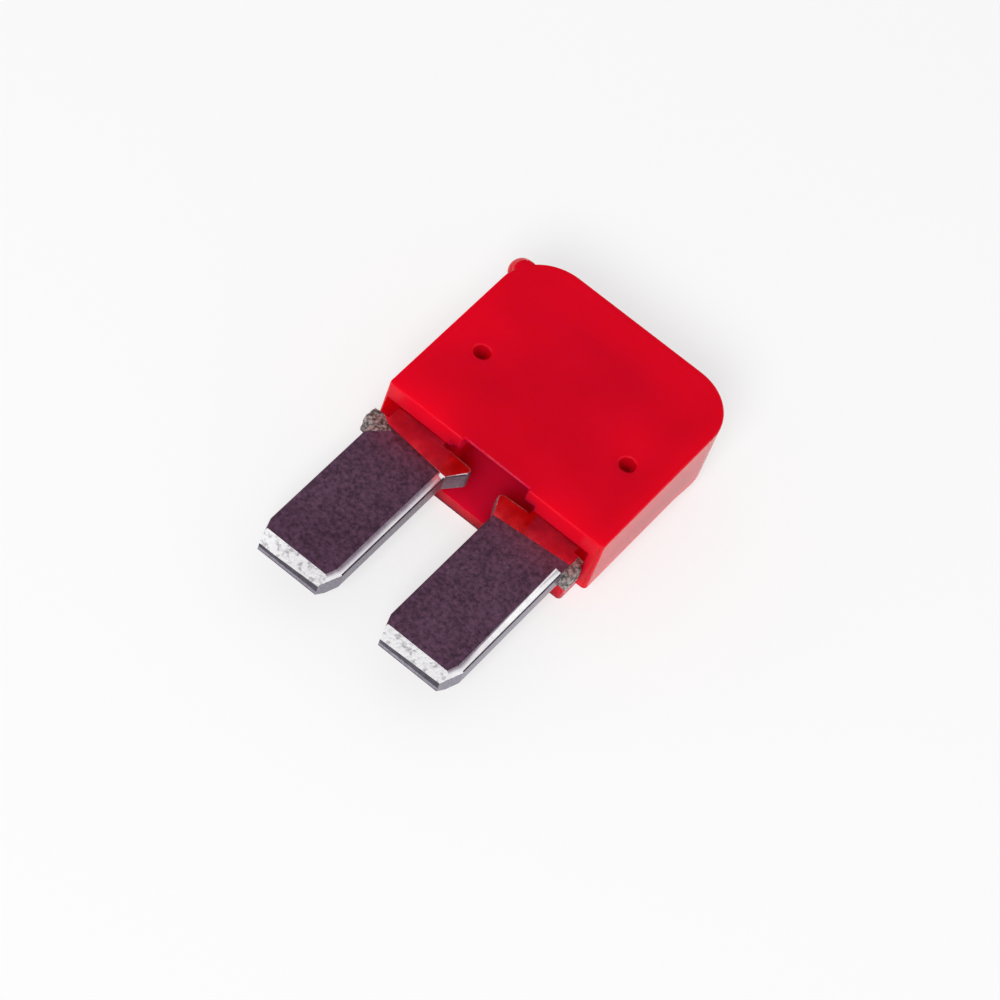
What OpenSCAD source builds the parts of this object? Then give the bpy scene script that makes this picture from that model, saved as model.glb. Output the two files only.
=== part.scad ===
// Two-blade automotive fuse of the smallest size, lying on its back.
// The metal is one flat stamping: two blades, two arms and the fusible link between them.
// The cap is one translucent moulding, open below, staked through two holes in the arms.
// Millimetres. X is across the blades, Y runs from the blade tips to the head, Z is up from the
// back face that the fuse lies on. The origin is under the middle of the whole part.

/* [Cap] */
// Width of the cap, front half
cap_w = 9.1; // [8.9:0.1:9.5]
// Height of the cap, from its lower edge to the top of the head
cap_h = 8.3; // [8:0.1:8.8]
// Thickness of the cap, back face to front face
cap_t = 3.8; // [3.6:0.1:4.2]
// Radius of the two corners of the head
head_r = 1.9; // [1.2:0.1:2.2]
// Radius of the two lower corners
foot_r = 0.15; // [0.1:0.05:0.25]
// Thickness of the side walls
side_wall = 0.4; // [0.35:0.05:0.5]
// Thickness of the top wall
top_wall = 0.8; // [0.6:0.1:1]
// Thickness of the front and back walls over the cavity
face_wall = 0.5; // [0.4:0.05:0.6]
// Thickness of the front and back walls at the mouth
lip_wall = 0.72; // [0.62:0.02:0.8]
// Depth of the flared mouth
mouth_depth = 0.6; // [0.4:0.1:0.9]
// Half width of the relief in the front wall between the blades
relief_half_w = 1.4; // [1.2:0.1:1.6]
// Thickness that the relief leaves at its edge
relief_land = 0.12; // [0.1:0.02:0.2]
// How far the back half is set in at each side
back_inset = 0.62; // [0.4:0.02:0.7]
// How far the back half's two pads reach below the lower edge of the front half
pad_drop = 0.1; // [0.05:0.05:0.2]
// How far both walls are cut back between the blades, above the lower edge of the front half
back_rise = 0.15; // [0.05:0.05:0.3]
// Height of the set-in back half along the skirt
back_t = 1.3; // [1:0.05:1.35]
// Height of the set-in back half at the head
head_back_t = 1.05; // [0.8:0.05:1.2]
// Length of the head, where the sides reach further back
head_len = 2; // [1.8:0.1:2.4]
// Length of the slope between the two heights
ramp_len = 1.1; // [0.5:0.1:1.5]
// Radius of the gate stub on the head's left corner
gate_r = 0.5; // [0.3:0.05:0.6]
// Place of the gate stub round the head's corner, in degrees from the side
gate_angle = 30; // [15:5:60]
// How far the gate stub lies below the front face
gate_drop = 0.05; // [0.05:0.05:0.4]
// How far the middle of the gate stub stands off the corner
gate_out = 0.1; // [0.05:0.05:0.2]

/* [Cavity] */
// Width of the arc chamber between the arms, as a share of the cap's width
chamber_share = 0.4; // [0.36:0.01:0.42]
// Height of the arc chamber above the lower edge of the cap
cavity_h = 6.9; // [6.3:0.1:7.1]

/* [Stakes] */
// Distance of each stake from the side of the cap
stake_side = 1.43; // [1.35:0.01:1.55]
// Height of the stakes above the lower edge of the cap
stake_y = 3.33; // [2.5:0.1:4.2]
// Radius of a stake where it passes through an arm
stake_r = 0.25; // [0.2:0.05:0.3]
// Radius of the punched dimple over a stake
dimple_r = 0.36; // [0.25:0.01:0.45]
// Depth of the dimple
dimple_depth = 0.5; // [0.3:0.05:0.7]

/* [Probe windows] */
// Width of a probe window in the head
window_w = 1.3; // [0.8:0.1:1.6]
// Thickness of a probe window, front to back
window_t = 1.1; // [0.9:0.1:1.4]
// Distance of a probe window from the middle
window_x = 2.6; // [2.4:0.1:2.9]

/* [Blades] */
// Thickness of the metal
metal_t = 0.8; // [0.6:0.05:0.9]
// Width of one blade
blade_w = 3.05; // [2.7:0.05:3.1]
// Distance between the middles of the blades
blade_pitch = 5.1; // [4.9:0.05:5.3]
// Length of the blades below the cap
blade_len = 7; // [6:0.1:8]
// How much a blade narrows at each corner of its tip
tip_narrow = 0.3; // [0.1:0.05:0.5]
// Length over which a blade narrows at its tip
tip_taper = 0.9; // [0.5:0.1:1.2]
// Length of the coined bevels at the tip
coin_len = 0.5; // [0.3:0.05:0.7]
// Thickness that the coined bevels leave at the tip
coin_t = 0.35; // [0.25:0.05:0.5]
// How far the metal sits off the middle of the cap
seat_shift = -0.25; // [-0.25:0.05:0.25]

/* [Shoulders] */
// Length of the shoulders below the cap
shoulder_len = 0.65; // [0.5:0.05:0.8]
// How far the sheared outer shoulders stand out
outer_tab = 0.35; // [0.25:0.05:0.4]
// How far the right outer shoulder reaches into the mouth
tab_rise = 0.27; // [0.1:0.01:0.4]
// How far the left inner shoulder stands out between the blades
left_flare = 0.5; // [0.3:0.05:0.6]
// How far the right inner shoulder stands out between the blades
right_flare = 0.35; // [0.3:0.05:0.6]
// How far below the cap the inner shoulders begin
flare_low = 0.55; // [0.4:0.05:0.65]
// How far the inner shoulders reach into the arc chamber
flare_rise = 0.4; // [0.3:0.05:0.5]
// Radius of the inner shoulders' ends
flare_r = 0.2; // [0.1:0.05:0.25]

/* [Link] */
// Radius of the link's arch, at the middle of its strip
link_r = 1.05; // [0.8:0.05:1.15]
// Width of the link's strip
link_w = 0.5; // [0.4:0.05:0.6]
// Thickness of the link's strip
link_t = 0.4; // [0.3:0.05:0.6]
// Width left at the neck, where the link melts
neck_w = 0.24; // [0.2:0.02:0.3]
// Height of the arch's centre above the lower edge of the cap
link_y = 4.3; // [3.9:0.1:4.8]
// Length of the arch's straight legs
link_leg = 1.1; // [0.8:0.1:1.4]

/* [Clearances] */
// Gap between the metal and the faces of its slot
slot_gap = 0.05; // [0.03:0.01:0.08]
// Gap between an arm and the side wall, with the metal in the middle
side_play = 0.3; // [0.3:0.01:0.35]
// Gap between a stake and its hole, with the metal in the middle
stake_play = 0.3; // [0.3:0.01:0.35]
// Gap between the top of the arms and the top wall
top_gap = 0.1; // [0.05:0.05:0.2]
// Gap between the shoulders and the lower edge of the cap
seat_gap = 0.05; // [0.03:0.01:0.08]
// Gap between an arm's inner edge and the arc chamber
chamber_gap = 0.05; // [0.03:0.01:0.1]

/* [Hidden] */
$fn = 96;
eps = 0.02;

half_w = cap_w / 2;
cavity_w = cap_w * chamber_share;
stake_x = half_w - stake_side;
mid_z = cap_t / 2;
metal_low = mid_z - metal_t / 2;
metal_top = mid_z + metal_t / 2;
slot_half_w = half_w - side_wall;
slot_top = cap_h - top_wall;
slot_r = head_r - side_wall;
back_half_w = half_w - back_inset;
ramp_y = cap_h - head_len - ramp_len;
arm_half_w = slot_half_w - side_play;
arm_top = slot_top - top_gap;
arm_in = cavity_w / 2 + chamber_gap;
hole_r = stake_r + stake_play;
gate_from_axis = head_r + gate_out;
gate_x = head_r - half_w - gate_from_axis * cos(gate_angle);
blade_out = blade_pitch / 2 + blade_w / 2;
blade_in = blade_pitch / 2 - blade_w / 2;
shoulder_y = -seat_gap - shoulder_len;

// Reach of the whole part, which puts the origin under its middle
x_low = min(-half_w, gate_x - gate_r, seat_shift - blade_out - outer_tab);
x_high = max(half_w, seat_shift + blade_out + outer_tab);
mid_x = (x_low + x_high) / 2;
mid_y = (cap_h - blade_len) / 2;

module to_origin() {
    translate([-mid_x, -mid_y, 0]) children();
}

// Outline of a cap half: square skirt, rounded head
module cap_outline(half_width, low) {
    top_x = half_width - head_r;
    foot_x = half_width - foot_r;
    translate([-top_x, low]) square([2 * top_x, cap_h - low]);
    translate([-half_width, low + foot_r])
        square([2 * half_width, cap_h - head_r - low - foot_r]);
    translate([-foot_x, low]) square([2 * foot_x, head_r]);
    for (side = [-1, 1]) {
        translate([side * top_x, cap_h - head_r]) circle(head_r);
        translate([side * foot_x, low + foot_r]) circle(foot_r);
    }
}

// Steps along the sides of the back: what the back half lacks of the full outline
module back_steps() {
    difference() {
        translate([cap_w, 0, 0]) rotate([0, -90, 0]) linear_extrude(2 * cap_w)
            polygon([[-eps, -cap_h], [back_t, -cap_h], [back_t, ramp_y],
                [head_back_t, ramp_y + ramp_len], [head_back_t, cap_h + eps], [-eps, cap_h + eps]]);
        translate([0, 0, -2 * eps]) linear_extrude(cap_t) cap_outline(back_half_w, -pad_drop);
    }
}

// Domed stub that the moulding gate leaves on the head's left corner
module gate_stub() {
    root = 2 * gate_r;
    translate([head_r - half_w, cap_h - head_r, cap_t - gate_drop - gate_r])
        rotate([0, 0, 180 - gate_angle]) rotate([0, 90, 0])
            translate([0, 0, gate_from_axis - root]) rotate_extrude() {
                square([gate_r, root]);
                intersection() {
                    translate([0, root]) circle(gate_r);
                    translate([0, root - eps]) square([gate_r, gate_r + eps]);
                }
            }
}

// Solid form of the cap: full front half, back half set in at the sides, less so at the head
module cap_body() {
    notch_half_w = cavity_w / 2;
    difference() {
        union() {
            linear_extrude(cap_t) cap_outline(half_w, 0);
            linear_extrude(back_t) cap_outline(back_half_w, -pad_drop);
        }
        back_steps();
        translate([-notch_half_w, -pad_drop - eps, -eps])
            cube([2 * notch_half_w, back_rise + pad_drop + eps, back_t + 2 * eps]);
    }
    gate_stub();
}

// Slot that holds the arms, rounded inside the head's corners
module arm_slot() {
    translate([0, 0, metal_low - slot_gap]) linear_extrude(metal_t + 2 * slot_gap) {
        translate([-slot_half_w, -eps]) square([2 * slot_half_w, slot_top - slot_r + eps]);
        translate([slot_r - slot_half_w, 0]) square([2 * (slot_half_w - slot_r), slot_top]);
        for (side = [-1, 1])
            translate([side * (slot_half_w - slot_r), slot_top - slot_r]) circle(slot_r);
    }
}

// Relief that thins the front wall towards the mouth of the arc chamber
module front_relief() {
    inner_z = cap_t - face_wall;
    translate([relief_half_w, 0, 0]) rotate([0, -90, 0])
        linear_extrude(2 * relief_half_w)
            polygon([[inner_z - eps, -eps], [cap_t + eps, -eps], [cap_t + eps, back_rise],
                [cap_t - relief_land, back_rise], [inner_z, back_rise + mouth_depth],
                [inner_z - eps, back_rise + mouth_depth]]);
}

// Flared mouth that leads the arms into the slot
module mouth() {
    flare_half_w = back_half_w - side_wall;
    slot_low = metal_low - slot_gap;
    slot_high = metal_top + slot_gap;
    translate([slot_half_w, 0, 0]) rotate([0, -90, 0])
        linear_extrude(2 * slot_half_w)
            polygon([[slot_low, -eps], [cap_t - lip_wall, -eps], [cap_t - lip_wall, 0],
                [slot_high, mouth_depth], [slot_low, mouth_depth]]);
    translate([flare_half_w, 0, 0]) rotate([0, -90, 0])
        linear_extrude(2 * flare_half_w)
            polygon([[lip_wall, -pad_drop - eps], [slot_high, -pad_drop - eps],
                [slot_high, mouth_depth], [slot_low, mouth_depth], [lip_wall, 0]]);
}

// Arc chamber round the link, open at the mouth
module arc_chamber() {
    translate([-cavity_w / 2, -eps, face_wall])
        cube([cavity_w, cavity_h + eps, cap_t - 2 * face_wall]);
}

// Windows in the head through which a probe reaches the arms
module probe_windows() {
    for (side = [-1, 1])
        translate([side * window_x - window_w / 2, slot_top - eps, mid_z - window_t / 2])
            cube([window_w, top_wall + 2 * eps, window_t]);
}

// Stakes through the arms
module stakes() {
    for (side = [-1, 1])
        translate([side * stake_x, stake_y, metal_low - slot_gap - eps])
            cylinder(r = stake_r, h = metal_t + 2 * slot_gap + 2 * eps);
}

// Dimples that the staking punches leave on both faces
module dimples() {
    for (side = [-1, 1], low = [-eps, cap_t - dimple_depth])
        translate([side * stake_x, stake_y, low]) cylinder(r = dimple_r, h = dimple_depth + eps);
}

module housing() {
    color("#D0051E") to_origin() {
        difference() {
            cap_body();
            arm_slot();
            mouth();
            arc_chamber();
            front_relief();
            probe_windows();
            dimples();
        }
        stakes();
    }
}

// Outline of one blade, tip down, with its narrowed tip; x is measured from its middle
module blade_outline() {
    half = blade_w / 2;
    polygon([[-half, shoulder_y + eps], [-half, -blade_len + tip_taper],
        [-half + tip_narrow, -blade_len], [half - tip_narrow, -blade_len],
        [half, -blade_len + tip_taper], [half, shoulder_y + eps]]);
}

// Side profile that coins the tip from both faces
module coined_profile() {
    end_low = mid_z - coin_t / 2;
    end_high = mid_z + coin_t / 2;
    coin_y = -blade_len + coin_len;
    translate([cap_w, 0, 0]) rotate([0, -90, 0]) linear_extrude(2 * cap_w)
        polygon([[end_low, -blade_len], [end_high, -blade_len], [metal_top, coin_y],
            [metal_top, cap_h], [metal_low, cap_h], [metal_low, coin_y]]);
}

// Shoulders of one blade: sheared square outside, flared and rounded between the blades
module shoulder_outline(side, flare) {
    outer = blade_out + outer_tab;
    round_x = blade_in - flare + flare_r;
    round_y = flare_rise - flare_r;
    lean = 35;
    mirror([side < 0 ? 1 : 0, 0]) {
        translate([blade_in, shoulder_y]) square([outer - blade_in, shoulder_len]);
        translate([round_x, -seat_gap - eps])
            square([arm_in + eps - round_x, flare_rise + seat_gap + eps]);
        translate([round_x, round_y]) circle(flare_r);
        polygon([[blade_in + eps, -flare_low],
            [round_x - flare_r * cos(lean), round_y - flare_r * sin(lean)],
            [round_x, round_y], [blade_in + eps, round_y]]);
    }
}

// Corner of the right outer shoulder that reaches into the mouth
module mouth_tab() {
    tab_out = slot_half_w - slot_gap - seat_shift;
    translate([arm_half_w - eps, -seat_gap - eps])
        square([tab_out - arm_half_w + eps, tab_rise + seat_gap + eps]);
}

// Arm inside the cap, rounded like its slot, with the hole for its stake
module arm_outline() {
    round_y = arm_top - slot_r;
    difference() {
        union() {
            translate([arm_in, -seat_gap - eps])
                square([arm_half_w - arm_in, round_y + seat_gap + eps]);
            translate([arm_in, round_y - eps])
                square([arm_half_w - slot_r - arm_in, slot_r + eps]);
            intersection() {
                translate([arm_half_w - slot_r, round_y]) circle(slot_r);
                translate([arm_in, round_y - eps]) square([arm_half_w - arm_in, 2 * slot_r]);
            }
        }
        translate([stake_x, stake_y]) circle(hole_r);
    }
}

// Fusible link: an arch on two legs, with feet that run into the arms and a necked crown
module link_outline() {
    half = link_w / 2;
    bite_r = link_w / 2;
    bite_out = neck_w / 2 + bite_r;
    foot_y = link_y - link_leg;
    difference() {
        union() {
            intersection() {
                difference() {
                    circle(link_r + half);
                    circle(link_r - half);
                }
                translate([-cavity_w, 0]) square([2 * cavity_w, cavity_w]);
            }
            for (side = [-1, 1]) {
                translate([side * link_r - half, -link_leg]) square([link_w, link_leg + eps]);
                mirror([side < 0 ? 1 : 0, 0]) translate([link_r - half, -link_leg])
                    square([arm_in - link_r + half + eps, link_w]);
            }
        }
        for (step = [-1, 1]) translate([0, link_r + step * bite_out]) circle(bite_r);
    }
}

module fuse_element() {
    color("#8E8B90") to_origin() translate([seat_shift, 0, 0]) {
        intersection() {
            translate([0, 0, metal_low]) linear_extrude(metal_t) {
                for (side = [-1, 1]) {
                    translate([side * blade_pitch / 2, 0]) blade_outline();
                    mirror([side < 0 ? 1 : 0, 0]) arm_outline();
                }
                shoulder_outline(-1, left_flare);
                shoulder_outline(1, right_flare);
                mouth_tab();
            }
            coined_profile();
        }
        translate([0, link_y, mid_z - link_t / 2]) linear_extrude(link_t) link_outline();
    }
}

housing();
fuse_element();
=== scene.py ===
"""Two-blade automotive fuse, lying on its back on a white ground.

The cap is one translucent red moulding; the metal in it is one flat stamping. Every piece is built
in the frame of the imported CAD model, in metres, and rides on the body "root".
"""

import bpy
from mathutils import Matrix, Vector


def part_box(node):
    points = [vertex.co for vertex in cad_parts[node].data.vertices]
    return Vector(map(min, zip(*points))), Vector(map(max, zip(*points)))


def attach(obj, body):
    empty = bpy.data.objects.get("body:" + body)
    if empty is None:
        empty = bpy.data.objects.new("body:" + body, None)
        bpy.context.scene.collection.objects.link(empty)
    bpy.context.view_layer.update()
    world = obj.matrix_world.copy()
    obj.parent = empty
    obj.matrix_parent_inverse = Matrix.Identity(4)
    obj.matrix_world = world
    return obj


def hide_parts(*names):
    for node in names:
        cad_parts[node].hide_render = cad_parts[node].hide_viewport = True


bl_info = {
    "name": "Two-blade automotive fuse",
    "version": (1, 0, 0),
    "blender": (4, 5, 0),
    "location": "View3D > Sidebar > Fuse",
    "description": "Builds the dressed cap and metal of a small two-blade automotive fuse",
    "category": "Add Mesh",
}

from math import cos, radians, sin

import bpy
from mathutils import Matrix, Vector

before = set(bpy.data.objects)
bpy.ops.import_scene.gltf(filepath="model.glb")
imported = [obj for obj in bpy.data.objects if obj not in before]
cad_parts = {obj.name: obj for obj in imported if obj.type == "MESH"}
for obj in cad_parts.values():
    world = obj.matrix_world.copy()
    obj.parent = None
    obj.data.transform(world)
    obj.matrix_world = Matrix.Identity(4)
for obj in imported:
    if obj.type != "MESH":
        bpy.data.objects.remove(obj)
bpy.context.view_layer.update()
CAP_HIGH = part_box("housing")[1]
METAL_LOW, METAL_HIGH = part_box("fuse_element")

MM = 0.001

# Sizes of the cap in mm, as in the part's source
CAP_HALF_W, CAP_LENGTH, CAP_THICK = 4.55, 8.3, 3.8
# Lower face of the front half, along the skirt and at the head
LEDGE, HEAD_LEDGE = 1.3, 1.05
# How far the back half is set in at each side
BACK_INSET = 0.62
SLOT_HALF_W, SLOT_LOW, SLOT_HIGH = 4.15, 1.45, 2.35
CHAMBER_HALF_W, RELIEF_HALF_W = 1.82, 1.4
STAKE_X, STAKE_Y = 3.12, 3.33
# How far a cutting block starts outside the foot that it opens
CLEAR = 0.3

# Sizes of the metal in mm. Its middle lies beside the cap's; blades are measured from its middle
SEAT = -0.25
BLADE_INNER, BLADE_MID, BLADE_OUTER = 1.025, 2.55, 4.075
TIP_TAPER = 0.3
COIN_LENGTH = 0.5
SKIM_DEPTH = 0.05

# Places in the frame, in metres
CAP_TOP = CAP_HIGH.z
MID_X = CAP_HIGH.x - CAP_HALF_W * MM
FOOT_Y = CAP_HIGH.y - CAP_LENGTH * MM
SEAT_X = MID_X + SEAT * MM

# Material slots of the cap, and of the metal
OUTER_SKIN, GLOWING_INNER_WALL, PAINTED_SHADE = range(3)
DULLED, COINED, SHEARED, SKIMMED, BURNISHED, BLANKED, EDGE_SHADE = range(7)

# Sockets of a Mix node that mixes colours
MIX_A, MIX_B, MIX_RESULT = 6, 7, 2

# Stage: sizes and places in metres. The camera was fitted to the outline of the real object, and
# its place is in mm, as for at()
FLOOR_SIZE = 1.2
LAMP_PLACE, LAMP_SIZE = (0.07, -0.30, 0.27), 0.16
CAMERA_PLACE = (29.162, -83.020, 120.646)
CAMERA_FORWARD = (-0.19382, 0.56366, -0.80294)
CAMERA_UP = (-0.60495, 0.57566, 0.55014)


def at(x, y, z):
    """Place in the frame of a point given in mm from the cap's middle, foot and back face."""
    return Vector((MID_X + x * MM, FOOT_Y + y * MM, z * MM))


class FuseCapSettings(bpy.types.PropertyGroup):
    """Sizes and colours of the moulded cap"""

    edge_round: bpy.props.FloatProperty(
        name="Edge rounding", description="Radius of the outer edges of the moulding",
        default=0.06 * MM, min=0.02 * MM, max=0.14 * MM, unit="LENGTH", precision=5)
    head_radius: bpy.props.FloatProperty(
        name="Head radius", description="Radius of the two corners of the head",
        default=1.9 * MM, min=1.0 * MM, max=2.2 * MM, unit="LENGTH", precision=5)
    colour: bpy.props.StringProperty(
        name="Plastic colour", description="sRGB colour of the moulding, as a hex value",
        default="#DA0320")
    # Painted glow: the inner walls are coloured a lighter red to stand in for light that crosses
    # the plastic
    inner_glow_colour: bpy.props.StringProperty(
        name="Inner glow colour", description="sRGB colour of the thin inner walls, as a hex value",
        default="#FF1038")
    # Painted shade: the dimples and the ends of the mouth are coloured a darker red where they lie
    # in shade
    painted_shade_colour: bpy.props.StringProperty(
        name="Painted shade colour",
        description="sRGB colour of the dimples and mouth ends, as a hex value",
        default="#BC0216")


class FuseMetalSettings(bpy.types.PropertyGroup):
    """Sizes and colours of the stamped metal"""

    roll_over: bpy.props.FloatProperty(
        name="Edge roll-over", description="Radius that punching leaves on the edges of the front",
        default=0.26 * MM, min=0.02 * MM, max=0.4 * MM, unit="LENGTH", precision=5)
    flat_colour: bpy.props.StringProperty(
        name="Flat colour", description="sRGB colour of the dulled flat faces, as a hex value",
        default="#684B60")
    bright_colour: bpy.props.StringProperty(
        name="Bright colour",
        description="sRGB colour of the coined and rolled edges, as a hex value",
        default="#FAF8FB")
    skimmed_colour: bpy.props.StringProperty(
        name="Skimmed colour",
        description="sRGB colour of the thinner metal in the mouth, as a hex value",
        default="#FAF4F8")
    side_colour: bpy.props.StringProperty(
        name="Side colour", description="sRGB colour of the cut sides of the strip, as a hex value",
        default="#8E8A96")
    # Painted shade: thin dark lines along the cut edges and round the tip ends, where the edges
    # turn into shade
    edge_shade_colour: bpy.props.StringProperty(
        name="Edge shade colour",
        description="sRGB colour of the painted shade along the cut edges, as a hex value",
        default="#443E48")
    sheared_colour: bpy.props.StringProperty(
        name="Sheared colour",
        description="sRGB colour of the torn ends of the strip, as a hex value",
        default="#B8B0AC")


class FuseStageSettings(bpy.types.PropertyGroup):
    """Ground, light and camera"""

    focal_length: bpy.props.FloatProperty(
        name="Focal length", description="Focal length on a 36 mm sensor, in mm",
        default=160.45, min=30.0, max=300.0)
    lamp_power: bpy.props.FloatProperty(
        name="Lamp power", description="Power of the large soft lamp above the front",
        default=1.25, min=0.0, max=5.0, unit="POWER")
    sky_level: bpy.props.FloatProperty(
        name="Sky level", description="Strength of the even light from all round",
        default=0.5, min=0.0, max=2.0)


# Small tools for meshes

def deselect_objects():
    """Leaves nothing selected and no object in edit mode."""
    if bpy.context.object and bpy.context.object.mode != "OBJECT":
        bpy.ops.object.mode_set(mode="OBJECT")
    bpy.ops.object.select_all(action="DESELECT")


def choose(piece):
    """Makes the piece the only selected and the active object."""
    deselect_objects()
    piece.select_set(True)
    bpy.context.view_layer.objects.active = piece


def edit(piece, parts="VERT"):
    """Opens the piece in edit mode with nothing selected."""
    choose(piece)
    bpy.ops.object.mode_set(mode="EDIT")
    bpy.ops.mesh.select_mode(type=parts)
    bpy.ops.mesh.select_all(action="DESELECT")


def close():
    """Leaves edit mode."""
    bpy.ops.object.mode_set(mode="OBJECT")


def pick(piece, parts, test):
    """Selects the parts of the open mesh that pass the test, and says how many there are.

    The test is given the place of a corner, the places of an edge's two ends, or a face.
    """
    bpy.ops.mesh.select_mode(type=parts)
    bpy.ops.mesh.select_all(action="DESELECT")
    bpy.ops.object.mode_set(mode="OBJECT")
    mesh = piece.data
    if parts == "VERT":
        told = [(v, (v.co,)) for v in mesh.vertices]
    elif parts == "EDGE":
        told = [(e, [mesh.vertices[i].co for i in e.vertices]) for e in mesh.edges]
    else:
        told = [(f, (f,)) for f in mesh.polygons]
    found = 0
    for part, places in told:
        part.select = test(*places)
        found += part.select
    bpy.ops.object.mode_set(mode="EDIT")
    return found


def near(a, b, reach=0.004 * MM):
    """Whether two measures are all but equal."""
    return abs(a - b) < reach


def upright(a, b):
    """Whether the edge between two places stands upright."""
    return near(a.x, b.x) and near(a.y, b.y)


def block(name, low, high):
    """Cube primitive between two corners, its place in its mesh."""
    deselect_objects()
    bpy.ops.mesh.primitive_cube_add(size=1, location=(low + high) / 2)
    piece = bpy.context.object
    piece.name = name
    piece.scale = high - low
    bpy.ops.object.transform_apply(location=True, rotation=True, scale=True)
    return piece


def rod(name, low, radius, height, vertices=32, top_radius=None):
    """Upright cylinder or cone primitive, its place in its mesh."""
    deselect_objects()
    bpy.ops.mesh.primitive_cone_add(
        vertices=vertices, radius1=radius, radius2=radius if top_radius is None else top_radius,
        depth=height, location=low + Vector((0, 0, height / 2)))
    piece = bpy.context.object
    piece.name = name
    bpy.ops.object.transform_apply(location=True, rotation=True, scale=True)
    return piece


def cut(piece, place, normal, test=None):
    """Cuts an edge line through the faces that pass the test, or through all of them."""
    edit(piece, "FACE")
    if test:
        pick(piece, "FACE", test)
    else:
        bpy.ops.mesh.select_all(action="SELECT")
    # The usual threshold swallows corners that lie this close to the line
    bpy.ops.mesh.bisect(plane_co=place, plane_no=normal, threshold=0.0002 * MM)
    close()


def move(piece, test, way):
    """Moves the corners that pass the test."""
    edit(piece)
    pick(piece, "VERT", test)
    bpy.ops.transform.translate(value=way)
    close()


def combine(piece, tool, how):
    """Boolean of two solids; the tool is used up."""
    choose(piece)
    modifier = piece.modifiers.new("boolean", "BOOLEAN")
    modifier.object = tool
    modifier.operation = how
    modifier.solver = "EXACT"
    bpy.ops.object.modifier_apply(modifier=modifier.name)
    bpy.data.objects.remove(tool)


def round_corners(piece, test, radius, segments, profile=0.5, finish=-1):
    """Rounds the edges that pass the test; the new faces keep their finish unless one is given."""
    edit(piece, "EDGE")
    if not pick(piece, "EDGE", test):
        raise RuntimeError("no edge to round on " + piece.name)
    bpy.ops.mesh.bevel(offset=radius, segments=segments, profile=profile, affect="EDGES",
                       clamp_overlap=False, material=finish)
    close()


def clean(piece):
    """Merges doubled corners and takes out the edges inside flat faces."""
    edit(piece)
    bpy.ops.mesh.select_all(action="SELECT")
    bpy.ops.mesh.remove_doubles(threshold=0.001 * MM)
    bpy.ops.mesh.dissolve_limited(angle_limit=radians(0.5))
    close()


def smooth(piece, angle):
    """Shades the piece smooth across the edges that turn by less than the angle in degrees."""
    choose(piece)
    bpy.ops.object.shade_smooth_by_angle(angle=radians(angle))


def settle_normals(piece):
    """Lets the large flat faces keep their own shading beside small bevels."""
    choose(piece)
    modifier = piece.modifiers.new("weighted normal", "WEIGHTED_NORMAL")
    modifier.keep_sharp = True
    bpy.ops.object.modifier_apply(modifier=modifier.name)


def give_finish(piece, finish, test):
    """Puts a finish, the number of a material slot, on the faces that pass the test."""
    for face in piece.data.polygons:
        if test(face):
            face.material_index = finish


def finish_piece(piece, node):
    """Gives the piece its body and hides the CAD node that it stands for."""
    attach(piece, "root")
    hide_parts(node)


# Small tools for materials

def linear(hex_value):
    """Linear colour of an sRGB hex value."""
    parts = [int(hex_value[i:i + 2], 16) / 255 for i in (1, 3, 5)]
    return tuple(c / 12.92 if c <= 0.04045 else ((c + 0.055) / 1.055) ** 2.4
                 for c in parts) + (1.0,)


def shade(hex_value, factor):
    """The hex colour made lighter or darker by a factor."""
    parts = [min(255, max(0, round(int(hex_value[i:i + 2], 16) * factor))) for i in (1, 3, 5)]
    return "#%02X%02X%02X" % tuple(parts)


def new_material(name):
    """Material with an empty node tree."""
    material = bpy.data.materials.new(name)
    material.use_nodes = True
    material.node_tree.nodes.clear()
    return material, material.node_tree


def add_node(tree, kind, inputs=None, stops=(), **settings):
    """Adds a node with its settings and links.

    An input is a value or the socket that feeds it. Stops are for a colour ramp, each a place and
    a hex colour.
    """
    made = tree.nodes.new(kind)
    for name, value in settings.items():
        setattr(made, name, value)
    for name, value in (inputs or {}).items():
        if isinstance(value, bpy.types.NodeSocket):
            tree.links.new(value, made.inputs[name])
        else:
            made.inputs[name].default_value = value
    if stops:
        elements = made.color_ramp.elements
        while len(elements) < len(stops):
            elements.new(0.5)
        for element, (place, colour) in zip(elements, stops):
            element.position = place
            element.color = linear(colour)
    return made


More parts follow.
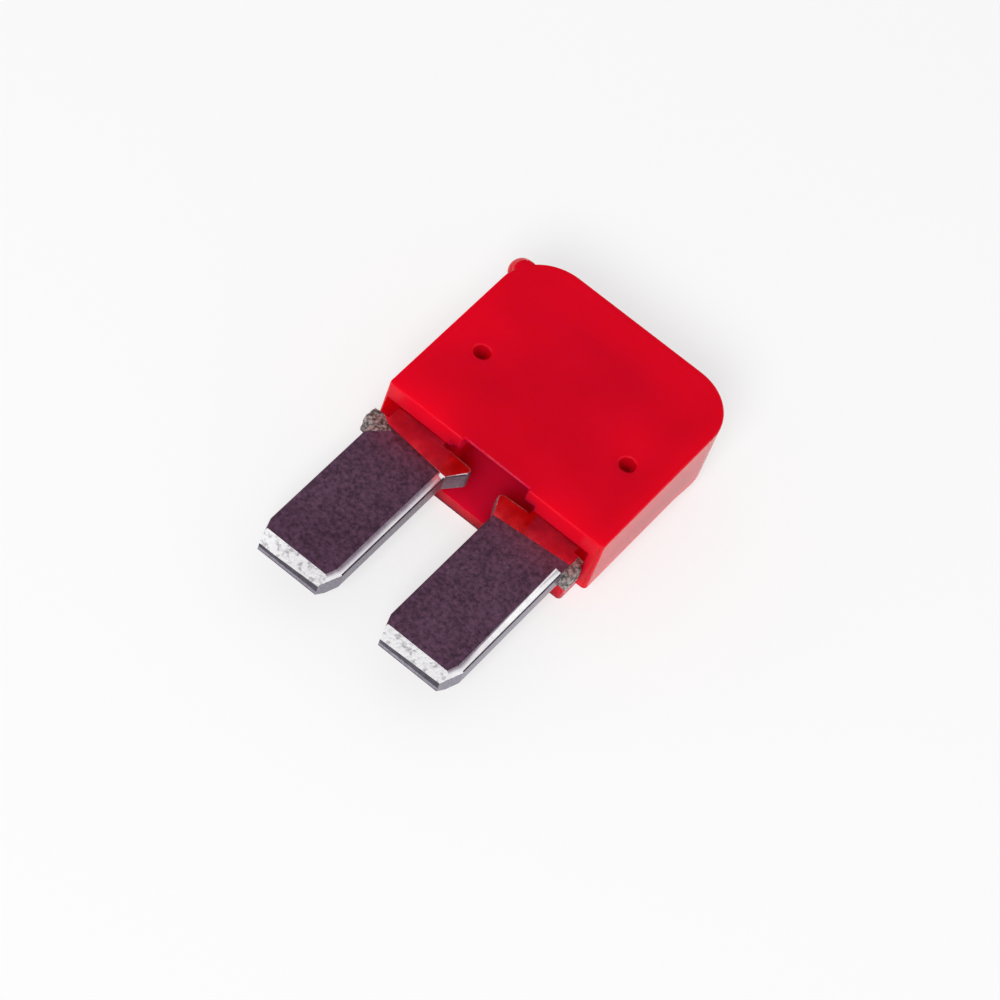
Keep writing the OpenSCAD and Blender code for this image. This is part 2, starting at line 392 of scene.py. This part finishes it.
def moulded_polyamide(name, colour):
    """Tinted polyamide, injection moulded in a fine-ground tool.

    The eye sees one deep red that light enters and spreads in, so hollows glow instead of turning
    black, and a smooth skin that mirrors the white ground at the grazing sides.
    """
    material, tree = new_material(name)
    place = add_node(tree, "ShaderNodeTexCoord")
    # Flow and wall thickness: soft patches about 3 mm across
    cloud = add_node(tree, "ShaderNodeTexNoise", {
        "Vector": place.outputs["Object"], "Scale": 1 / (3.0 * MM), "Detail": 1.0})
    tint = add_node(tree, "ShaderNodeValToRGB", {"Fac": cloud.outputs["Fac"]},
                    stops=((0.3, shade(colour, 0.95)), (0.7, shade(colour, 1.03))))
    # Skin of the mould: shallow waves about 0.4 mm long, felt only where the ground is mirrored
    skin = add_node(tree, "ShaderNodeTexNoise", {
        "Vector": place.outputs["Object"], "Scale": 1 / (0.4 * MM), "Detail": 1.0})
    gloss = add_node(tree, "ShaderNodeMapRange", {
        "Value": skin.outputs["Fac"], "To Min": 0.14, "To Max": 0.24})
    bump = add_node(tree, "ShaderNodeBump", {
        "Height": skin.outputs["Fac"], "Strength": 0.3, "Distance": 0.01 * MM})
    # Red light spreads about 2.4 mm in the plastic, green and blue hardly at all
    shader = add_node(tree, "ShaderNodeBsdfPrincipled", {
        "Base Color": tint.outputs["Color"], "Roughness": gloss.outputs["Result"],
        "IOR": 1.53, "Specular IOR Level": 0.15,
        "Subsurface Weight": 1.0, "Subsurface Radius": (1.0, 0.06, 0.08),
        "Subsurface Scale": 2.4 * MM, "Normal": bump.outputs["Normal"]})
    add_node(tree, "ShaderNodeOutputMaterial", {"Surface": shader.outputs["BSDF"]})
    return material


def zinc_surface(name, colour, tones, patch, rough, relief, metallic=1.0, spread=(0.36, 0.64),
                 drift_low="#E6E0E6"):
    """Shared build of the zinc finishes: two tones in patches of a real size, and their relief.

    The tones are factors of the colour, the light one first. The patch is given in mm. The relief
    is the strength of the bump and its depth in mm. The spread says how hard the tones part.
    """
    material, tree = new_material(name)
    place = add_node(tree, "ShaderNodeTexCoord")
    mottle = add_node(tree, "ShaderNodeTexNoise", {
        "Vector": place.outputs["Object"], "Scale": 1 / (patch * MM), "Detail": 4.0,
        "Roughness": 0.65})
    tone = add_node(tree, "ShaderNodeValToRGB", {"Fac": mottle.outputs["Fac"]},
                    stops=((spread[0], shade(colour, tones[1])),
                           (spread[1], shade(colour, tones[0]))))
    # Slow change of tone along the strip, in patches about 3 mm across
    drift = add_node(tree, "ShaderNodeTexNoise", {
        "Vector": place.outputs["Object"], "Scale": 1 / (3.0 * MM), "Detail": 1.0})
    drift = add_node(tree, "ShaderNodeValToRGB", {"Fac": drift.outputs["Fac"]},
                     stops=((0.3, drift_low), (0.7, "#FFFFFF")))
    tone = add_node(tree, "ShaderNodeMix", {
        "Factor": 1.0, MIX_A: tone.outputs["Color"], MIX_B: drift.outputs["Color"]},
        data_type="RGBA", blend_type="MULTIPLY")
    rough = add_node(tree, "ShaderNodeMapRange", {
        "Value": mottle.outputs["Fac"], "From Min": 0.3, "From Max": 0.7,
        "To Min": rough[0], "To Max": rough[1]})
    bump = add_node(tree, "ShaderNodeBump", {
        "Height": mottle.outputs["Fac"], "Strength": relief[0], "Distance": relief[1] * MM})
    shader = add_node(tree, "ShaderNodeBsdfPrincipled", {
        "Base Color": tone.outputs[MIX_RESULT], "Metallic": metallic,
        "Roughness": rough.outputs["Result"], "Normal": bump.outputs["Normal"]})
    add_node(tree, "ShaderNodeOutputMaterial", {"Surface": shader.outputs["BSDF"]})
    return material


def dulled_zinc(colour):
    """Rolled zinc strip, rough and coloured dark: finely mottled, faintly purple."""
    return zinc_surface("rolled dulled zinc", colour, tones=(1.2, 0.8), patch=0.14,
                        rough=(0.3, 0.44), relief=(0.3, 0.006), metallic=0.55)


def coined_zinc(colour):
    """Zinc pressed smooth by the coining die: bright, with the fine lines of the squeezed skin."""
    return zinc_surface("coined zinc edge", colour, tones=(1.06, 0.76), patch=0.22,
                        rough=(0.12, 0.28), relief=(0.6, 0.014), spread=(0.36, 0.5),
                        drift_low="#F8F6F8")


def burnished_zinc(colour):
    """Zinc drawn smooth round the punched edges: an even bright line beside the dull face."""
    return zinc_surface("burnished zinc edge", colour, tones=(1.04, 0.96), patch=0.3,
                        rough=(0.2, 0.3), relief=(0.1, 0.004), metallic=0.9)


def skimmed_zinc(colour):
    """Zinc skimmed a little thinner where it enters the cap: clean, so it mirrors the red mouth."""
    return zinc_surface("skimmed zinc", colour, tones=(1.06, 0.88), patch=0.5,
                        rough=(0.2, 0.26), relief=(0.1, 0.004))


def blanked_zinc(colour):
    """Cut side of the strip: plain grey zinc, neither oxidised nor polished."""
    return zinc_surface("blanked zinc side", colour, tones=(1.12, 0.88), patch=0.1,
                        rough=(0.3, 0.45), relief=(0.2, 0.006), metallic=0.7)


def edge_shade_zinc(colour):
    """Painted shade in thin lines along the cut edges: dark, dry and almost colourless."""
    return zinc_surface("zinc, painted edge shade", colour, tones=(1.3, 0.7), patch=0.2,
                        rough=(0.5, 0.7), relief=(0.2, 0.006), metallic=0.3)


def sheared_zinc(colour):
    """Zinc torn by the cropping blade: rough grey grit with dark pits."""
    return zinc_surface("sheared zinc end", colour, tones=(1.24, 0.5), patch=0.13,
                        rough=(0.6, 0.85), relief=(0.9, 0.03))


class FUSE_OT_cap(bpy.types.Operator):
    """Builds the translucent moulded cap over the metal"""

    bl_idname = "fuse.build_cap"
    bl_label = "Build the cap"

    def execute(self, context):
        settings = context.scene.fuse_cap
        cap = self.front_half(settings.edge_round, settings.head_radius)
        combine(cap, self.back_half(settings.head_radius), "UNION")
        notch = block("notch", at(-CHAMBER_HALF_W, -0.5, -0.5), at(CHAMBER_HALF_W, 0.15, 1.32))
        combine(cap, notch, "DIFFERENCE")
        combine(cap, self.gate_stub(), "UNION")
        self.hollow(cap)
        self.dimple(cap)
        clean(cap)
        smooth(cap, 35)
        settle_normals(cap)
        self.tint(cap, settings)
        finish_piece(cap, "housing")
        return {"FINISHED"}

    @staticmethod
    def round_uprights(half, head, segments):
        """Rounds the upright edges of a half: the head's by its radius, the foot's a little."""
        round_corners(half, lambda a, b: upright(a, b) and a.y > at(0, 8, 0).y, head, segments)
        round_corners(half, lambda a, b: upright(a, b) and a.y < at(0, 1, 0).y, 0.15 * MM, 3)

    def front_half(self, edge, head):
        """Front half: a slab with its head corners and its rims rounded."""
        cap = block("cap", at(-CAP_HALF_W, 0, HEAD_LEDGE), at(CAP_HALF_W, CAP_LENGTH, CAP_THICK))
        self.round_uprights(cap, head, 16)
        round_corners(cap, lambda a, b: near(a.z, CAP_TOP) and near(b.z, CAP_TOP), edge, 3)
        # Its lower face is stepped up along the skirt, with a slope to the head
        slope_start, slope_end = 5.2, 6.3
        step = block("step", at(-5, -1, 0.5), at(5, slope_end, LEDGE))
        cut(step, at(0, slope_start, 0), (0, 1, 0))
        move(step, lambda v: near(v.z, LEDGE * MM) and near(v.y, at(0, slope_end, 0).y),
             (0, 0, (HEAD_LEDGE - LEDGE) * MM))
        combine(cap, step, "DIFFERENCE")
        return cap

    def back_half(self, head):
        """Back half: set in at the sides, its two pads below the foot of the front half."""
        pad, top = -0.1, 2.0
        back = block("back half", at(-CAP_HALF_W + BACK_INSET, pad, 0),
                     at(CAP_HALF_W - BACK_INSET, CAP_LENGTH, top))
        self.round_uprights(back, head, 12)
        round_corners(back, lambda a, b: near(a.z, 0) and near(b.z, 0), 0.08 * MM, 3)
        combine(back, block("trim", at(-5, -1, LEDGE), at(5, 0, 3)), "DIFFERENCE")
        return back

    @staticmethod
    def gate_stub():
        """Stub where the gate was torn off: a ball, and a domed pin nearly level with the front."""
        # The ball sits on the rounding of the left head corner
        corner_x, corner_y, reach, turn = -2.65, 6.4, 1.96, radians(30)
        middle = at(corner_x - reach * cos(turn), corner_y + reach * sin(turn), 3.29)
        deselect_objects()
        bpy.ops.mesh.primitive_uv_sphere_add(segments=32, ring_count=20, radius=0.5 * MM,
                                             location=middle)
        ball = bpy.context.object
        ball.name = "gate ball"
        bpy.ops.object.transform_apply(location=True, rotation=True, scale=True)
        low, height = 2.9, 0.895
        top = (low + height) * MM
        stub = rod("gate stub", at(-4.21, 7.27, low), 0.46 * MM, height * MM)
        round_corners(stub, lambda a, b: near(a.z, top) and near(b.z, top), 0.2 * MM, 5)
        combine(stub, ball, "UNION")
        return stub

    @staticmethod
    def hollow(cap):
        """Slot for the arms, flared mouth, arc chamber with its relief, and probe windows."""
        slot = block("slot", at(-SLOT_HALF_W, -CLEAR, SLOT_LOW), at(SLOT_HALF_W, 7.5, SLOT_HIGH))
        round_corners(slot, lambda a, b: upright(a, b) and a.y > at(0, 7, 0).y, 1.5 * MM, 12)
        combine(cap, slot, "DIFFERENCE")
        # The mouth flares from the slot to a lip at the foot, on both faces of the metal
        flare_end = 0.6
        for left, right, low, high, lip, wall in (
                (-4.45, 4.15, 2.3, 3.08, 3.08, SLOT_HIGH),
                (-3.53, 3.53, 0.72, 1.5, 0.72, SLOT_LOW)):
            flare = block("flare", at(left, -CLEAR, low), at(right, flare_end, high))
            cut(flare, at(0, 0, 0), (0, 1, 0))
            move(flare, lambda v: near(v.z, lip * MM) and near(v.y, at(0, flare_end, 0).y),
                 (0, 0, (wall - lip) * MM))
            combine(cap, flare, "DIFFERENCE")
        chamber = block("chamber", at(-CHAMBER_HALF_W, -CLEAR, 0.5), at(CHAMBER_HALF_W, 6.9, 3.3))
        combine(cap, chamber, "DIFFERENCE")
        # The chamber's front wall is thinned behind a nick in the foot
        foot, end, deep = 0.15, 0.75, 3.68
        relief = block("relief", at(-RELIEF_HALF_W, foot, 3.28), at(RELIEF_HALF_W, end, deep))
        move(relief, lambda v: near(v.z, deep * MM) and near(v.y, at(0, end, 0).y),
             (0, 0, -0.38 * MM))
        combine(cap, relief, "DIFFERENCE")
        nick = block("nick", at(-RELIEF_HALF_W, -CLEAR, 3.2), at(RELIEF_HALF_W, foot, 4.0))
        combine(cap, nick, "DIFFERENCE")
        for side in (-1, 1):
            window = block("window", at(side * 2.6 - 0.65, 7.4, 1.35),
                           at(side * 2.6 + 0.65, 8.5, 2.45))
            combine(cap, window, "DIFFERENCE")

    @staticmethod
    def dimple(cap):
        """Punched dimples over the stakes on both faces, and the stakes between them."""
        point, mouth, length = 0.18 * MM, 0.34 * MM, 0.6
        for side in (-1, 1):
            stake = rod("stake", at(side * STAKE_X, STAKE_Y, 1.4), 0.25 * MM, 1.0 * MM)
            combine(cap, stake, "UNION")
            for low, radius, top_radius in ((3.3, point, mouth), (0.5 - length, mouth, point)):
                punch = rod("punch", at(side * STAKE_X, STAKE_Y, low), radius, length * MM, 40,
                            top_radius)
                combine(cap, punch, "DIFFERENCE")
            # The rim on the front is drawn in round
            middle = at(side * STAKE_X, STAKE_Y, CAP_THICK)
            round_corners(cap, lambda a, b: near(a.z, CAP_TOP) and near(b.z, CAP_TOP)
                          and max((a - middle).length, (b - middle).length) < 0.4 * MM,
                          0.05 * MM, 3)

    @staticmethod
    def tint(cap, settings):
        """Gives the plastic its tint by place.

        The walls round the metal are painted a lighter red, a painted glow for the light that has
        crossed them. The dimples and the ends of the mouth are painted a darker red, as painted
        shade.
        """
        cap.data.materials.clear()
        for name, colour in (
                ("tinted moulded polyamide", settings.colour),
                ("tinted moulded polyamide, painted inner glow", settings.inner_glow_colour),
                ("tinted moulded polyamide, painted shade", settings.painted_shade_colour)):
            cap.data.materials.append(moulded_polyamide(name, colour))
        # Each place is told by a box in mm that holds the middles of its faces
        for face in cap.data.polygons:
            x, y, z = (face.center - at(0, 0, 0)) / MM
            inner = abs(x) < 4.2 and 0.01 < y < 7.52 and 0.45 < z < 3.27
            relief = abs(x) < 1.45 and 0.01 < y < 0.8 and 3.2 < z < 3.75
            over_stake = Vector((abs(x) - STAKE_X, y - STAKE_Y)).length < 0.3
            punched = over_stake and (z > 3.28 or z < 0.52)
            mouth_end = 4.1 < abs(x) < 4.46 and 0.01 < y < 0.62 and 1.4 < z < 3.1
            # Painted shade in the dimples and at the mouth ends; painted glow on the inner walls
            # and the relief
            if punched or mouth_end:
                face.material_index = PAINTED_SHADE
            else:
                face.material_index = GLOWING_INNER_WALL if inner or relief else OUTER_SKIN


class FUSE_OT_metal(bpy.types.Operator):
    """Builds the stamped metal: two blades, their shoulders and arms, and the link"""

    bl_idname = "fuse.build_metal"
    bl_label = "Build the metal"

    def execute(self, context):
        settings = context.scene.fuse_metal
        metal = self.copied_node(context)
        clean(metal)
        smooth(metal, 30)
        metal.data.materials.clear()
        for finish in (dulled_zinc(settings.flat_colour), coined_zinc(settings.bright_colour),
                       sheared_zinc(settings.sheared_colour), skimmed_zinc(settings.skimmed_colour),
                       burnished_zinc(settings.bright_colour), blanked_zinc(settings.side_colour),
                       edge_shade_zinc(settings.edge_shade_colour)):
            metal.data.materials.append(finish)
        # The cut sides are grey outside the cap; further in they mirror the red walls
        mouth = at(0, 0.45, 0).y
        give_finish(metal, SKIMMED, lambda f: abs(f.normal.z) < 0.3)
        give_finish(metal, BLANKED, lambda f: abs(f.normal.z) < 0.3 and f.center.y < mouth)
        self.skim(metal)
        self.crop_ends(metal)
        # The rolled edges end below the shoulders and above the coined tips
        for y in (-0.72, -5.9):
            cut(metal, at(0, y, 0), (0, 1, 0))
        self.roll_edges(metal, METAL_HIGH.z, settings.roll_over, 6, BURNISHED,
                        side=self.right_hand, flatten=0.42, profile=0.45)
        self.roll_edges(metal, METAL_HIGH.z, 0.06 * MM, 2, DULLED,
                        side=lambda x: not self.right_hand(x))
        self.roll_edges(metal, METAL_LOW.z, 0.05 * MM, 2, BLANKED)
        self.round_flares(metal)
        self.line_edges(metal)
        self.coin_tips(metal)
        smooth(metal, 30)
        settle_normals(metal)
        finish_piece(metal, "fuse_element")
        return {"FINISHED"}

    @staticmethod
    def copied_node(context):
        """Copy of the CAD node, with its own mesh and none of the node's marks."""
        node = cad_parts["fuse_element"]
        metal = node.copy()
        metal.data = node.data.copy()
        metal.name = "metal"
        for key in list(metal.keys()):
            del metal[key]
        metal.parent = None
        context.scene.collection.objects.link(metal)
        return metal

    @staticmethod
    def skim(metal):
        """Lowers the front of the shoulders and arms, with a slanting step on each side."""
        # The step slants from here at the outer shoulders towards the middle; all in mm
        end_x, end_y, slant, width = 3.9, -0.24, 0.103, 0.05

        def above(place, drop):
            line = end_y - (end_x - abs(place.x - SEAT_X) / MM) * slant - drop
            return place.y > at(0, line, 0).y

        for side in (-1, 1):
            for drop in (0.0, width):
                cut(metal, (SEAT_X + side * end_x * MM, at(0, end_y - drop, 0).y, 0),
                    (-side * slant, 1, 0), lambda f: (f.center.x - SEAT_X) * side > 0)
        move(metal, lambda v: near(v.z, METAL_HIGH.z) and above(v, 0.02),
             (0, 0, -SKIM_DEPTH * MM))
        give_finish(metal, SKIMMED, lambda f: f.normal.z > 0.5 and above(f.center, 0.04))

    @staticmethod
    def crop_ends(metal):
        """Roughens the ends of the outer shoulders, where the strip was torn off by cropping."""
        reach = BLADE_OUTER * MM
        for side in (-1, 1):
            line = SEAT_X + side * reach
            cut(metal, (line, 0, 0), (1, 0, 0))
            edit(metal, "EDGE")
            pick(metal, "EDGE", lambda a, b: near(a.x, line) and near(b.x, line))
            bpy.ops.mesh.mark_sharp()
            close()
        # The left corner is bruised further in, as far as two slanting lines that meet in a point
        corner = at(-3.69, -0.46, 0)
        inside = at(-3.4, 0, 0)
        upper, lower = Vector((0.48, 0.70, 0)), Vector((0.73, -0.68, 0))

        def below(place, line):
            return (place.x - corner.x) * line.x + (place.y - corner.y) * line.y < 0

        def bruised(place):
            return place.x < inside.x and below(place, upper) and below(place, lower)

        cut(metal, inside, (1, 0, 0), lambda f: f.normal.z > 0.5 and f.center.x < SEAT_X)
        cut(metal, corner, lower, lambda f: f.normal.z > 0.5 and f.center.x < inside.x)
        cut(metal, corner, upper, lambda f: f.normal.z > 0.5 and f.center.x < inside.x
            and below(f.center, lower))
        give_finish(metal, SHEARED, lambda f: abs(f.center.x - SEAT_X) > reach + 0.01 * MM
                    or f.normal.z > 0.5 and bruised(f.center))
        # Both torn places are divided finely, and their corners shaken
        edit(metal, "FACE")
        pick(metal, "FACE", lambda f: f.material_index == SHEARED)
        bpy.ops.mesh.quads_convert_to_tris()
        bpy.ops.mesh.subdivide(number_cuts=7)
        pick(metal, "VERT", lambda v: v.z > METAL_HIGH.z - 0.06 * MM and bruised(v)
             and abs(v.x - SEAT_X) < reach - 0.02 * MM)
        bpy.ops.transform.vertex_random(offset=0.02 * MM, uniform=0.5, seed=3)
        pick(metal, "VERT", lambda v: abs(v.x - SEAT_X) > reach + 0.03 * MM)
        bpy.ops.mesh.vertices_smooth(factor=0.5, repeat=3)
        bpy.ops.transform.vertex_random(offset=0.035 * MM, uniform=0.4, seed=5)
        close()

    @staticmethod
    def right_hand(x):
        """Whether a place across the strip is on the right half of its blade."""
        across = x - SEAT_X
        return across > BLADE_MID * MM or -BLADE_MID * MM < across < 0

    @staticmethod
    def roll_edges(metal, level, radius, segments, finish, side=None, flatten=1.0, profile=0.5):
        """Rounds the long edges of the blades on one face of the strip, flatter if asked."""
        slack = 0.005 * MM
        inner = BLADE_INNER * MM - slack, (BLADE_INNER + TIP_TAPER) * MM + 3 * slack
        outer = (BLADE_OUTER - TIP_TAPER) * MM - 3 * slack, BLADE_OUTER * MM + slack

        def rolled(a, b):
            across = (a.x + b.x) / 2
            off = abs(across - SEAT_X)
            return (near(a.z, level) and near(b.z, level)
                    and max(a.y, b.y) < FOOT_Y - 0.5 * MM and not near(a.y, b.y, 0.1 * MM)
                    and (inner[0] < off < inner[1] or outer[0] < off < outer[1])
                    and (side is None or side(across)))

        round_corners(metal, rolled, radius, segments, profile, finish)
        if flatten < 1:
            mesh = metal.data
            places = {tuple(mesh.vertices[i].co) for f in mesh.polygons
                      if f.material_index == finish for i in f.vertices}
            edit(metal)
            pick(metal, "VERT", lambda v: tuple(v) in places)
            bpy.ops.transform.resize(value=(1, 1, flatten), center_override=(0, 0, level))
            close()

    @staticmethod
    def round_flares(metal):
        """Draws the front edge of the two inner shoulders round, as far as the mouth shows it."""
        level = METAL_HIGH.z - SKIM_DEPTH * MM
        low, high = at(0, -0.5, 0).y, at(0, 0.42, 0).y

        def shoulder(a, b):
            return (near(a.z, level, 0.002 * MM) and near(b.z, level, 0.002 * MM)
                    and max(abs(a.x - SEAT_X), abs(b.x - SEAT_X)) < 1.03 * MM
                    and low < max(a.y, b.y) < high)

        round_corners(metal, shoulder, 0.07 * MM, 3, finish=BURNISHED)

    @staticmethod
    def line_edges(metal):
        """Leaves thin dark lines of painted shade outside the burnished edges and round the ends of
        the tips.
        """
        tips = METAL_LOW.y + 0.01 * MM
        upper, lower = METAL_HIGH.z - 0.395 * MM, METAL_HIGH.z - 0.535 * MM
        slack = 0.001 * MM

        def tip_end(face):
            return face.normal.y < -0.9 and face.center.y < tips

        def lined(face):
            heights = [metal.data.vertices[i].co.z for i in face.vertices]
            outside = min(heights) > upper - slack or max(heights) < lower + slack
            steep = face.material_index == BURNISHED and face.normal.x > 0.62
            return tip_end(face) and outside or steep

        for level in (upper, lower):
            cut(metal, (0, 0, level), (0, 0, 1), tip_end)
        # The dark lines are painted shade along the edges that turn away from the light
        give_finish(metal, EDGE_SHADE, lined)

    @staticmethod
    def coin_tips(metal):
        """Parts the coined bevels of the tips from the flat front by a sharp line."""
        line = METAL_LOW.y + (COIN_LENGTH + 0.02) * MM
        edit(metal, "EDGE")
        pick(metal, "EDGE", lambda a, b: near(a.z, METAL_HIGH.z) and near(b.z, METAL_HIGH.z)
             and max(a.y, b.y) < line)
        bpy.ops.mesh.mark_sharp()
        close()
        give_finish(metal, COINED, lambda f: f.center.y < METAL_LOW.y + COIN_LENGTH * MM
                    and f.normal.z > 0.3 and f.normal.y < -0.1)


class FUSE_OT_stage(bpy.types.Operator):
    """Sets the white ground, the soft light and the camera"""

    bl_idname = "fuse.build_stage"
    bl_label = "Build the stage"

    def execute(self, context):
        settings = context.scene.fuse_stage
        scene = context.scene
        scene.view_settings.view_transform = "Standard"

        deselect_objects()
        bpy.ops.mesh.primitive_grid_add(x_subdivisions=2, y_subdivisions=2, size=FLOOR_SIZE)
        floor = context.object
        floor.name = "floor"
        floor.data.materials.append(self.white_ground())

        self.sky(scene, settings.sky_level)
        deselect_objects()
        bpy.ops.object.light_add(type="AREA", location=LAMP_PLACE)
        lamp = context.object
        lamp.name = "soft lamp"
        lamp.data.shape = "DISK"
        lamp.data.size = LAMP_SIZE
        lamp.data.energy = settings.lamp_power
        lamp.visible_glossy = False
        lamp.visible_camera = False
        lamp.rotation_euler = (-lamp.location).to_track_quat("-Z", "Y").to_euler()

        camera_data = bpy.data.cameras.new("camera")
        camera_data.sensor_width = 36
        camera_data.lens = settings.focal_length
        camera_data.clip_start = 0.01
        camera = bpy.data.objects.new("camera", camera_data)
        scene.collection.objects.link(camera)
        forward = Vector(CAMERA_FORWARD).normalized()
        right = forward.cross(Vector(CAMERA_UP).normalized()).normalized()
        up = right.cross(forward)
        turn = Matrix((right, up, -forward)).transposed().to_4x4()
        camera.matrix_world = Matrix.Translation(at(*CAMERA_PLACE)) @ turn
        scene.camera = camera
        return {"FINISHED"}

    @staticmethod
    def white_ground():
        """Matt white board; the eye sees plain white that still takes the object's shadow."""
        material, tree = new_material("matt white board")
        path = add_node(tree, "ShaderNodeLightPath")
        # The board glows for the camera, and a little for what gloss and glass show of it
        mirrored = add_node(tree, "ShaderNodeMath", {
            0: path.outputs["Is Glossy Ray"], 1: path.outputs["Is Transmission Ray"]},
            operation="ADD", use_clamp=True)
        mirrored = add_node(tree, "ShaderNodeMath", {0: mirrored.outputs["Value"], 1: 0.2},
                            operation="MULTIPLY")
        lift = add_node(tree, "ShaderNodeMath", {
            0: path.outputs["Is Camera Ray"], 1: 0.6, 2: mirrored.outputs["Value"]},
            operation="MULTIPLY_ADD")
        board = add_node(tree, "ShaderNodeValToRGB", {"Fac": path.outputs["Is Camera Ray"]},
                         stops=((0.0, "#F0F0F0"), (1.0, "#A3A3A3")))
        shader = add_node(tree, "ShaderNodeBsdfPrincipled", {
            "Base Color": board.outputs["Color"], "Roughness": 0.9, "Specular IOR Level": 0.2,
            "Emission Color": (1, 1, 1, 1), "Emission Strength": lift.outputs["Value"]})
        add_node(tree, "ShaderNodeOutputMaterial", {"Surface": shader.outputs["BSDF"]})
        return material

    @staticmethod
    def sky(scene, level):
        """Even light for matt faces; gloss sees a white tent with a dark opening past the back."""
        world = bpy.data.worlds.new("studio")
        scene.world = world
        world.use_nodes = True
        tree = world.node_tree
        tree.nodes.clear()
        path = add_node(tree, "ShaderNodeLightPath")
        place = add_node(tree, "ShaderNodeTexCoord")
        # Dark room seen past the back of the white tent, mirrored by every face that looks up
        dark_way = Vector((-0.55, 0.78, 0.30)).normalized()
        turned = add_node(tree, "ShaderNodeVectorMath", {
            0: place.outputs["Generated"], 1: dark_way}, operation="DOT_PRODUCT")
        glossy = add_node(tree, "ShaderNodeValToRGB", {"Fac": turned.outputs["Value"]},
                          stops=((0.0, "#FFFFFF"), (0.36, "#FFFFFF"), (0.64, "#5F465F"),
                                 (1.0, "#4E374C")))
        gloss_sky = add_node(tree, "ShaderNodeBackground", {"Color": glossy.outputs["Color"]})
        plain_sky = add_node(tree, "ShaderNodeBackground", {
            "Color": (1, 1, 1, 1), "Strength": level})
        white_sky = add_node(tree, "ShaderNodeBackground", {"Color": (1, 1, 1, 1)})
        lit = add_node(tree, "ShaderNodeMixShader", {
            0: path.outputs["Is Glossy Ray"], 1: plain_sky.outputs["Background"],
            2: gloss_sky.outputs["Background"]})
        seen = add_node(tree, "ShaderNodeMath", {
            0: path.outputs["Is Camera Ray"], 1: path.outputs["Is Transmission Ray"]},
            operation="ADD", use_clamp=True)
        shown = add_node(tree, "ShaderNodeMixShader", {
            0: seen.outputs["Value"], 1: lit.outputs["Shader"],
            2: white_sky.outputs["Background"]})
        add_node(tree, "ShaderNodeOutputWorld", {"Surface": shown.outputs["Shader"]})


class FUSE_PT_panel(bpy.types.Panel):
    """Lists the fuse's settings and the buttons that build it"""

    bl_idname = "FUSE_PT_panel"
    bl_label = "Two-blade fuse"
    bl_space_type = "VIEW_3D"
    bl_region_type = "UI"
    bl_category = "Fuse"

    def draw(self, context):
        layout = self.layout
        for group, operator in (("fuse_cap", "fuse.build_cap"), ("fuse_metal", "fuse.build_metal"),
                                ("fuse_stage", "fuse.build_stage")):
            settings = getattr(context.scene, group)
            box = layout.box()
            for name in settings.__annotations__:
                box.prop(settings, name)
            box.operator(operator)


CLASSES = (FuseCapSettings, FuseMetalSettings, FuseStageSettings,
           FUSE_OT_cap, FUSE_OT_metal, FUSE_OT_stage, FUSE_PT_panel)


def register():
    for item in CLASSES:
        bpy.utils.register_class(item)
    bpy.types.Scene.fuse_cap = bpy.props.PointerProperty(type=FuseCapSettings)
    bpy.types.Scene.fuse_metal = bpy.props.PointerProperty(type=FuseMetalSettings)
    bpy.types.Scene.fuse_stage = bpy.props.PointerProperty(type=FuseStageSettings)


def unregister():
    for name in ("fuse_cap", "fuse_metal", "fuse_stage"):
        delattr(bpy.types.Scene, name)
    for item in reversed(CLASSES):
        bpy.utils.unregister_class(item)


def main():
    register()
    bpy.ops.fuse.build_cap()
    bpy.ops.fuse.build_metal()
    bpy.ops.fuse.build_stage()


if __name__ == "__main__":
    main()
